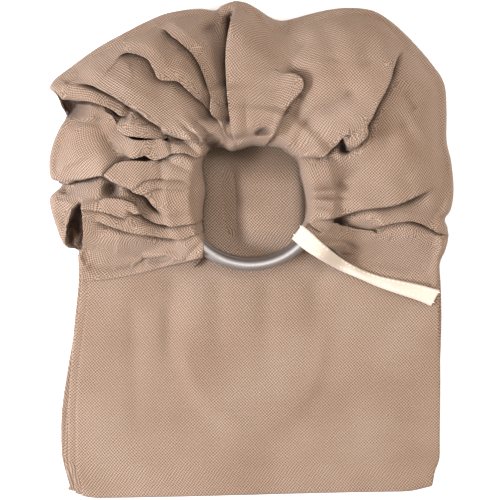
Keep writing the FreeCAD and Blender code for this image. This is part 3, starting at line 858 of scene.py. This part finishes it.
left_columns = side_columns(whole[:, 0], whole[:, 14], steps=8, tuck=7)
right_columns = side_columns(whole[:, -1], whole[:, -15], steps=8, tuck=7)
side_pieces = [left_columns[::-1].transpose(1, 0, 2), whole, right_columns.transpose(1, 0, 2)]
whole = np.concatenate(side_pieces, axis=1)
print("gather with its tucked edges", whole.shape[:2])

# %% [markdown]
# The weave must keep its real size on every fold. The grid is first laid out flat, each column at its walked
# length, and then its links are pulled again and again towards the lengths they have on the folded sheet.

# %% Flattening the gather for its weave
def pull_links(flat, lengths, rounds):
    """Pulls the links of a flat grid towards their lengths: along rows, along columns, and both diagonals."""
    whole, shorter, longer = slice(None), slice(None, -1), slice(1, None)
    links = [((whole, shorter), (whole, longer)), ((shorter, whole), (longer, whole)),
             ((shorter, shorter), (longer, longer)), ((shorter, longer), (longer, shorter))]
    share_out = np.zeros(flat.shape[:2])
    for a, b in links:
        share_out[a] += 1
        share_out[b] += 1
    for _ in range(rounds):
        pull = np.zeros_like(flat)
        for (a, b), length in zip(links, lengths):
            step = flat[b] - flat[a]
            size = np.maximum(np.linalg.norm(step, axis=-1), 1e-6)
            half = step * (0.5 * (size - length) / size)[..., None]
            pull[a] += half
            pull[b] -= half
        flat = flat + 1.7 * pull / share_out[..., None]
    return flat


def link_lengths(points, step):
    """Lengths walked on the folded sheet between every step-th row and column, and across the diagonals."""
    across = np.diff(run_length(points, 1)[::step, ::step], axis=1)
    down = np.diff(run_length(points, 0)[::step, ::step], axis=0)
    if step == 1:
        diagonal = [np.linalg.norm(points[1:, 1:] - points[:-1, :-1], axis=-1),
                    np.linalg.norm(points[1:, :-1] - points[:-1, 1:], axis=-1)]
    else:
        wide, tall = (across[1:] + across[:-1]) / 2, (down[:, 1:] + down[:, :-1]) / 2
        diagonal = [np.hypot(wide, tall)] * 2
    return [across, down] + diagonal


def flatten(points, coarse_step=5, rounds=100):
    """A flat layout that keeps nearly the folded sheet's lengths: first a coarse grid, then the full one."""
    rows = 1 + (points.shape[0] - 1) // coarse_step * coarse_step
    columns = 1 + (points.shape[1] - 1) // coarse_step * coarse_step
    part = points[:rows, :columns]
    low, high = part.shape[0] // 10, -1 - part.shape[0] // 10
    way = unit(part[high, :, :2] - part[low, :, :2])
    walked = run_length(part, 0)
    flat = part[low, :, :2][None] + way[None] * (walked - walked[low])[..., None]
    coarse = pull_links(flat[::coarse_step, ::coarse_step], link_lengths(part, coarse_step), 900)
    flat = spread_back(coarse, rows, columns)
    more = [(0, points.shape[0] - rows), (0, points.shape[1] - columns), (0, 0)]
    flat = np.pad(flat, more, mode="reflect", reflect_type="odd")
    return pull_links(flat, link_lengths(points, 1), rounds)


def blurred(values, reach=6, times=2):
    """A grid of values, each averaged with its neighbours along both directions."""
    for _ in range(times):
        for axis in (0, 1):
            total = sum(np.roll(values, step, axis=axis) for step in range(-reach, reach + 1))
            values = total / (2 * reach + 1)
    return values


def crease_depth(levels, last_row):
    """How deep each point lies below its surroundings, near and farther off, as a 0 to 1 painted shade for its
    crease; none on the edges tucked under.
    """
    fine = np.clip((blurred(levels) - levels - 0.4) / 4.5, 0, 1)
    broad = np.clip((blurred(levels, reach=14) - levels - 3.5) / 8.0, 0, 1)
    in_rows = ease((last_row - np.arange(len(levels))) / 6)
    from_side = np.minimum(np.arange(levels.shape[1]), np.arange(levels.shape[1])[::-1])
    return np.maximum(fine, broad) * in_rows[:, None] * ease((from_side - len(left_columns)) / 6)


gather = cloth_piece("gathered_shoulder_cloth", whole, taupe_cloth, uv=flatten(whole), flip=True)
added = [(len(hole_rows), len(rim_rows)), (len(left_columns), len(right_columns))]
painted_pockets = np.pad(painted_pocket_shade, added, mode="edge")
# painted shade in the gather's creases and hollows, stored for its colour
store_painted_shade(gather, np.maximum(crease_depth(whole[..., 2], len(hole_rows) + ROWS), painted_pockets))

# %% [markdown]
# ## The underside of the gather
# The lower layer of cloth closes the gather from below. It starts where the outer edge tucks under, lies on
# the folded tail, and rises to the lower ring, so that nothing hollow shows when the shoulder is lifted.

# %% Underside cloth
def underside_points(rows=18):
    """A grid from the outer tucked edge to the ring hole, kept to the tucked front edges at its two ends."""
    outer_low, inner_low = whole[-1], whole[0]
    share = np.linspace(0, 1, rows)[:, None]
    points = outer_low[None] * (1 - share[..., None]) + inner_low[None] * share[..., None]
    rise = ease((share - 0.55) / 0.45)
    points[..., 2] = outer_low[None, :, 2] * (1 - rise) + inner_low[None, :, 2] * rise
    at = np.linspace(0, 1, points.shape[1])
    for column, fade in ((0, ease(1 - at / 0.08)), (-1, ease(1 - (1 - at) / 0.08))):
        edge = along_path(whole[::-1, column], share[:, 0])
        points += (edge - points[:, column])[:, None] * fade[None, :, None]
    return points


under = underside_points()
under_uv = flatten(under, coarse_step=2, rounds=40)
underside = cloth_piece("shoulder_underside_cloth", under, taupe_cloth, uv=under_uv, flip=True)

# %% [markdown]
# ## The cloth behind the fold
# The last length of the tail drops behind the stack and runs along the floor into the gather, across the hinge.

# %% Return cloth
THIN_PLY = 0.9  # the cloth's thickness where it is pulled flat
RETURN_PATH = [(98.9, 20.5), (101.5, 17.5), (102.8, 8), (105, 2.6), (111, 1.4), (119, 1.4), (126, 2.2),
               (131, 4.5)]


def return_points(rows=70, columns=110):
    """The return cloth as one grid, narrowing towards the gather's rear."""
    path = smooth_path(RETURN_PATH, rows)
    across = np.linspace(-1, 1, columns)[None]
    half = TAIL_HALF - 50 * ease((path[:, :1] - 104) / 24)
    x = TAIL_CENTRE + across * half
    y = path[:, :1] + 0.5 * np.sin(x / 19) * ease((path[:, :1] - 104) / 10)
    z = path[:, 1:] + 0.5 * (1 + np.sin(x / 13 + path[:, :1] / 9)) * ease((path[:, :1] - 108) / 12)
    return np.stack([x, y, z], axis=-1)


return_cloth = cloth_piece("shoulder_return_cloth", return_points(), taupe_cloth, flip=True, thick=THIN_PLY)

# %% [markdown]
# ## The hem of the tail
# The free end of the tail is turned over once and sewn down. It closes the lowest length at the rear.

# %% Hem
def hem_points(rows=28, columns=90):
    """The turned end: along the floor, round the edge, and back over."""
    rear = hem_high[1] - 0.6
    top = hem_high[2] + 0.2
    path = smooth_path([(hem_low[1] + 0.2, 0.7), (rear - 2, 0.6), (rear, 1.1), (rear + 0.1, top / 2 + 0.4),
                        (rear - 0.6, top - 0.1), (rear - 3, top), (hem_low[1] + 0.2, top)], rows)
    x = np.linspace(hem_low[0] + 0.3, hem_high[0] - 0.3, columns)[None] + 0 * path[:, :1]
    return np.stack([x, path[:, :1] + 0 * x, path[:, 1:] + 0 * x], axis=-1)


hem = cloth_piece("tail_hem_cloth", hem_points(), taupe_cloth, thick=THIN_PLY)

# %% [markdown]
# ## The cream tape
# A cream cotton tape binds the long edge of the wrap. It lies on the right flank's front edge and wraps a few
# millimetres under it. Its height is read from the gather's own surface, so that it rests on the cloth.

# %% Tape along the front edge
TAPE_UPPER = [(29.5, 14.5), (35.5, 9.5), (43, 2.5), (52, -4.5), (63.5, -11.5), (75, -15.5), (86.5, -18),
              (98.5, -20.5), (110, -23.5)]
TAPE_LOWER = [(24.5, 7.5), (31.5, 1.5), (40, -4), (52, -10.5), (63.5, -15.5), (75, -20.5), (86.5, -24.5),
              (98.5, -28.5), (105.5, -31.5)]
TAPE_THICK = 0.9
TAPE_LIFT = 0.7  # the tape's height over the cloth at its sides
TAPE_SOFTEN = 11  # how many samples of the cloth's height the tape bridges
TAPE_WRAP = ((3.1, 2.4), (2.8, 0.6), (2.0, -0.4), (0.9, -0.5))  # how far down and how far under, inmost first


def surface_level(tree, spots):
    """Height of a surface below each spot, with gaps filled from the nearest spot that has one."""
    levels = np.full(len(spots), np.nan)
    for index, (x, y) in enumerate(spots):
        hit = tree.ray_cast(Vector((x * MM, y * MM, 0.2)), Vector((0, 0, -1)))[0]
        if hit is not None:
            levels[index] = hit.z / MM
    known = np.flatnonzero(~np.isnan(levels))
    return np.interp(np.arange(len(spots)), known, levels[known])


def bridged(values, window):
    """A smooth line that stays on or above its samples: the highest in each window, then their average."""
    for summary in (np.max, np.mean):
        padded = np.pad(values, window // 2, mode="edge")
        values = summary(np.lib.stride_tricks.sliding_window_view(padded, window), axis=1)
    return values


def tape_points(along=120, across=8):
    """The tape's grid: across its width on the cloth, then down and under the edge."""
    upper, lower = smooth_path(TAPE_UPPER, along), smooth_path(TAPE_LOWER, along)
    tree = surface_tree(gather)
    share = np.linspace(0, 1, across)
    rows = [lower + (upper - lower) * s for s in share]
    level = [surface_level(tree, rows[-1]), surface_level(tree, rows[across // 2])]
    level = [bridged(values, TAPE_SOFTEN) for values in level]
    face = []
    for s, row in zip(share, rows):
        height = level[1] + (level[0] - level[1]) * np.clip(2 * s - 1, -0.4, 1)
        face.append(np.column_stack([row, height + TAPE_LIFT + 0.5 * math.sin(math.pi * s)]))
    wrapped = []
    for drop, under in TAPE_WRAP:
        spot = face[0] - [0, 0, drop]
        spot[:, :2] += unit(upper - lower) * under
        wrapped.append(spot)
    return clear_of_wire(np.array(wrapped + face), room=WIRE / 2 + 3.2)


tape_grid = tape_points()
tape = cloth_piece("edge_tape_strip", tape_grid, cream_cloth, thick=TAPE_THICK, offset=1.0)
print("tape length", round(float(run_length(tape_grid, 1)[-1, -1]), 1), "mm")

# %% [markdown]
# ## Stitches
# A lockstitch shows as a row of short rounded lengths of thread with small gaps. Geometry Nodes place one low
# rounded stitch at each step of a seam line and turn it along the line, so every seam shares one tree.

# %% The stitch tree
def stitch_tree(material):
    """A tree that turns seam lines into rows of stitches, with the sizes as named inputs in metres."""
    tree = bpy.data.node_groups.new(f"stitches of {material.name}", "GeometryNodeTree")
    tree.interface.new_socket("Seam lines", in_out="INPUT", socket_type="NodeSocketGeometry")
    sizes = {"Stitch step": 3.0, "Stitch length": 2.3, "Thread width": 0.5}
    for name, size in sizes.items():
        tree.interface.new_socket(name, in_out="INPUT", socket_type="NodeSocketFloat").default_value = size * MM
    tree.interface.new_socket("Stitches", in_out="OUTPUT", socket_type="NodeSocketGeometry")
    entry = tree.nodes.new("NodeGroupInput").outputs
    lines = add_node(tree, "GeometryNodeMeshToCurve", {0: entry["Seam lines"]}).outputs[0]
    steps = add_node(tree, "GeometryNodeResampleCurve",
                     {"Curve": lines, "Length": entry["Stitch step"]}, mode="LENGTH")
    tangent = add_node(tree, "GeometryNodeInputTangent").outputs[0]
    turn = add_node(tree, "FunctionNodeAlignRotationToVector", {"Vector": tangent}, axis="Z").outputs[0]
    size = add_node(tree, "ShaderNodeCombineXYZ", {
        0: entry["Thread width"], 1: entry["Thread width"], 2: entry["Stitch length"]}).outputs[0]
    bead = add_node(tree, "GeometryNodeMeshUVSphere", {"Segments": 6, "Rings": 5, "Radius": 0.5}).outputs[0]
    placed = add_node(tree, "GeometryNodeInstanceOnPoints", {
        "Points": steps.outputs[0], "Instance": bead, "Rotation": turn, "Scale": size}).outputs[0]
    real = add_node(tree, "GeometryNodeRealizeInstances", {0: placed}).outputs[0]
    smooth = add_node(tree, "GeometryNodeSetShadeSmooth", {0: real}).outputs[0]
    coloured = add_node(tree, "GeometryNodeSetMaterial", {"Geometry": smooth, "Material": material}).outputs[0]
    add_node(tree, "NodeGroupOutput", {0: coloured})
    return tree


def stitch_rows(name, rows, tree, **sizes):
    """Seam lines in millimetres turned into one mesh of stitches by the tree."""
    mesh = bpy.data.meshes.new(name)
    corners, edges = [], []
    for row in rows:
        first = len(corners)
        corners += (np.array(row) * MM).tolist()
        edges += [(first + i, first + i + 1) for i in range(len(row) - 1)]
    mesh.from_pydata(corners, edges, [])
    piece = new_object(name, mesh)
    maker = piece.modifiers.new("stitches", "NODES")
    maker.node_group = tree
    for item in tree.interface.items_tree:
        if item.in_out == "INPUT" and item.name in sizes:
            maker[item.identifier] = sizes[item.name] * MM
    apply_modifiers(piece)
    print(name, len(piece.data.polygons), "faces")
    return piece


# %% Sew the tape, the casing and the hem
cream_stitching, taupe_stitching = stitch_tree(cream_thread), stitch_tree(taupe_thread)
tape_face = tape_grid[len(TAPE_WRAP):]
tape_lines = [tape_face[row] + [0, 0, TAPE_THICK + 0.15] for row in (1, 6)]
tape_stitches = stitch_rows("tape_stitches", tape_lines, cream_stitching, **{"Stitch length": 2.2})


def casing_lines(reaches=(50.0, 53.5, 57.0), start=-38, stop=222, count=160):
    """Seam lines on the underside, round the rings, open at the front."""
    tree = surface_tree(underside)
    lines = []
    for reach in reaches:
        turn = np.radians(np.linspace(start, stop, count))
        spots = ring_middle[:2] + reach * np.stack([np.cos(turn), np.sin(turn)], axis=1)
        hits = [tree.ray_cast(Vector((x * MM, y * MM, -0.01)), Vector((0, 0, 1)))[0] for x, y in spots]
        lines.append([(x, y, hit.z / MM - 0.15) for (x, y), hit in zip(spots, hits) if hit is not None])
    return lines


casing_stitches = stitch_rows("casing_stitches", casing_lines(), taupe_stitching, **{"Stitch step": 3.2})
HEM_SEAM_IN, SEAM_END_ROOM = 3.0, 6  # from the hem's fold to its seam, and from each side to the seam's end
hem_xs = np.linspace(hem_low[0] + SEAM_END_ROOM, hem_high[0] - SEAM_END_ROOM, 60)
hem_line = [(x, hem_low[1] + HEM_SEAM_IN, hem_high[2] + 0.5) for x in hem_xs]
hem_stitches = stitch_rows("hem_stitches", [hem_line], taupe_stitching, **{"Stitch step": 3.2})

# %% [markdown]
# ## Which body each piece rides on
# The folded tail stays on the shelf. The gather, its lining and its tape lift together on the rear fold.

# %% Ride and replace
for piece in (folded_tail, hem, hem_stitches):
    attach(piece, "folded_tail")
for piece in (gather, underside, tape, tape_stitches, casing_stitches):
    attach(piece, "shoulder")
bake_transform(return_cloth)

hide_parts(*[f"tail_panel_{n}" for n in range(1, 7)])
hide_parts("tail_hem")
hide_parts("tail_hem_stitching")
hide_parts("gather_left_flank", "gather_left_crown", "gather_middle_crown", "gather_right_crown",
            "gather_right_flank")
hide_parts("ring_casing")
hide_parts("shoulder_return")
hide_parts("edge_tape")
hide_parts("tape_stitching")
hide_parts("casing_seam")

# %% [markdown]
# ## Floor, light and camera
# A white floor and soft lights keep the shadows gentle. The key light comes low from the left, so each fold has
# a lit side and a shaded side, and the room's own light fills the rest. The camera looks straight down. The
# plain sRGB view keeps the white floor white and the cloth at its own shade.

# %% Floor
def white_floor(size_m):
    """A plain pale floor, wide enough to fill every view."""
    mesh = bpy.data.meshes.new("floor")
    half = size_m / 2
    corners = [(-half, -half, 0), (half, -half, 0), (half, half, 0), (-half, half, 0)]
    mesh.from_pydata(corners, [], [(0, 1, 2, 3)])
    floor = new_object("floor", mesh)
    floor.location.z = -0.2 * MM
    material, tree, shader = new_material("matt white card")
    fill_inputs(tree, shader, {"Base Color": linear("#FFFFFF"), "Roughness": 0.9})
    floor.data.materials.append(material)


white_floor(6.0)


# %% Lights and world
SLING_MIDDLE = (0, 0, 0.03)


def soft_light(name, place, width, watts, colour="#FFFFFF"):
    """A square area light that faces the sling."""
    light = bpy.data.lights.new(name, "AREA")
    light.shape, light.size, light.energy, light.color = "SQUARE", width, watts, linear(colour)[:3]
    lamp = new_object(name, light)
    lamp.location = place
    lamp.rotation_euler = (Vector(SLING_MIDDLE) - Vector(place)).to_track_quat("-Z", "Y").to_euler()


soft_light("key", (-1.08, -0.32, 0.75), 0.4, 44.0, "#EEF4FF")
soft_light("overhead", (0.0, 0.15, 1.45), 0.9, 18.0)
soft_light("fill_right", (1.1, 0.3, 0.9), 0.8, 14.0)
bpy.context.scene.view_settings.view_transform = "Standard"
world = bpy.data.worlds.new("soft white room")
world.use_nodes = True
backdrop = world.node_tree.nodes["Background"]
fill_inputs(world.node_tree, backdrop, {"Color": linear("#FFE6D4"), "Strength": 0.55})
bpy.context.scene.world = world


# %% Camera
FRAME_WIDTH = 291.0  # what the view spans, in mm
VIEW_OFFSET = -0.6  # how far the lens stands from the sling's middle line, in mm
CAMERA_HEIGHT = 2.5  # above the sling, in metres
SENSOR = 36.0


def overhead_camera():
    """A long lens straight above the sling, with the crown at the top of the frame."""
    lens = bpy.data.cameras.new("overhead")
    lens.sensor_width = SENSOR
    lens.lens = SENSOR * CAMERA_HEIGHT / (FRAME_WIDTH * MM)
    lens.clip_end = 20
    camera = new_object("overhead", lens)
    camera.location = (VIEW_OFFSET * MM, 0, CAMERA_HEIGHT + SLING_MIDDLE[2])
    bpy.context.scene.camera = camera


overhead_camera()
